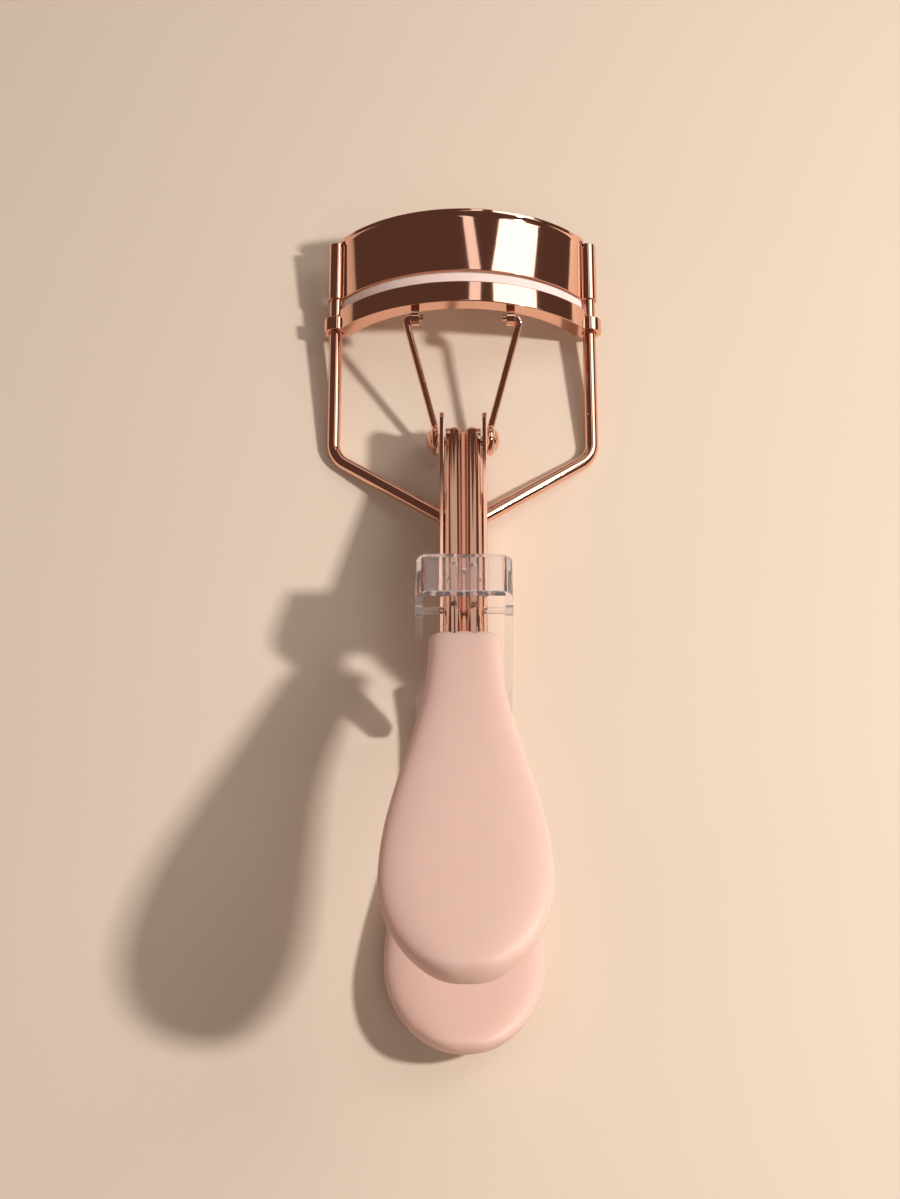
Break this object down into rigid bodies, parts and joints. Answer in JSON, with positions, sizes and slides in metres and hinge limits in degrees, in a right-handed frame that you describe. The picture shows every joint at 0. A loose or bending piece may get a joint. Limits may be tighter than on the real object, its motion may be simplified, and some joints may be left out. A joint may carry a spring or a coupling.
{
  "type": "eyelash curler",
  "caption": "Wire-framed eyelash curler with a bowed upper plate, a sliding padded lower jaw driven by a cranked lever, and drop-shaped moulded handles.",
  "frame": {"origin": "middle of the curler's length and width, on the surface that it lies on", "axes": "+Y towards the jaws, +Z away from the surface, X across"},
  "size_m": [0.0532, 0.1592, 0.0441],
  "materials": {
    "rose_gold": "mirror-polished rose-gold plate",
    "handle_plastic": "frosted translucent dusty-pink moulding",
    "silicone": "matt pale-pink silicone",
    "clear_plastic": "clear glossy moulding"
  },
  "bodies": {
    "frame": {"left_rail": "rose_gold", "right_rail": "rose_gold", "left_plate_sleeve": "rose_gold", "right_plate_sleeve": "rose_gold", "upper_plate": "rose_gold", "frame_shank": "rose_gold", "rear_handle": "handle_plastic", "pivot_pin": "rose_gold"},
    "lever": {"lever_shank": "rose_gold", "front_handle": "handle_plastic", "crank_pin": "rose_gold", "clasp_pin": "clear_plastic"},
    "clasp": {"clasp": "clear_plastic"},
    "jaw": {"lower_jaw": "rose_gold", "pad": "silicone", "left_jaw_guide": "rose_gold", "right_jaw_guide": "rose_gold", "left_eyelet": "rose_gold", "right_eyelet": "rose_gold"},
    "links": {"left_link": "rose_gold", "right_link": "rose_gold"}
  },
  "joints": [
    {"name": "lever_open", "type": "hinge", "parent": "frame", "child": "lever", "pos_m": [0, 0.03258, 0.0105], "axis": [-1, 0, 0], "range_deg": [0, 50]},
    {"name": "jaw_slide", "type": "slide", "parent": "frame", "child": "jaw", "axis": [0, -0.9925, -0.1219], "range_m": [0, 0.00635]},
    {"name": "link_swing", "type": "hinge", "parent": "jaw", "child": "links", "pos_m": [0, 0.0569, 0.01456], "axis": [1, 0, 0], "range_deg": [-0.5, 1]},
    {"name": "clasp_swing", "type": "hinge", "parent": "lever", "child": "clasp", "pos_m": [0, -0.00731, 0.02194], "axis": [1, 0, 0], "range_deg": [0, 45]}
  ],
  "couplings": [
    {"joint": "jaw_slide", "follows": "lever_open", "m_per_rad": 0.007264}
  ]
}
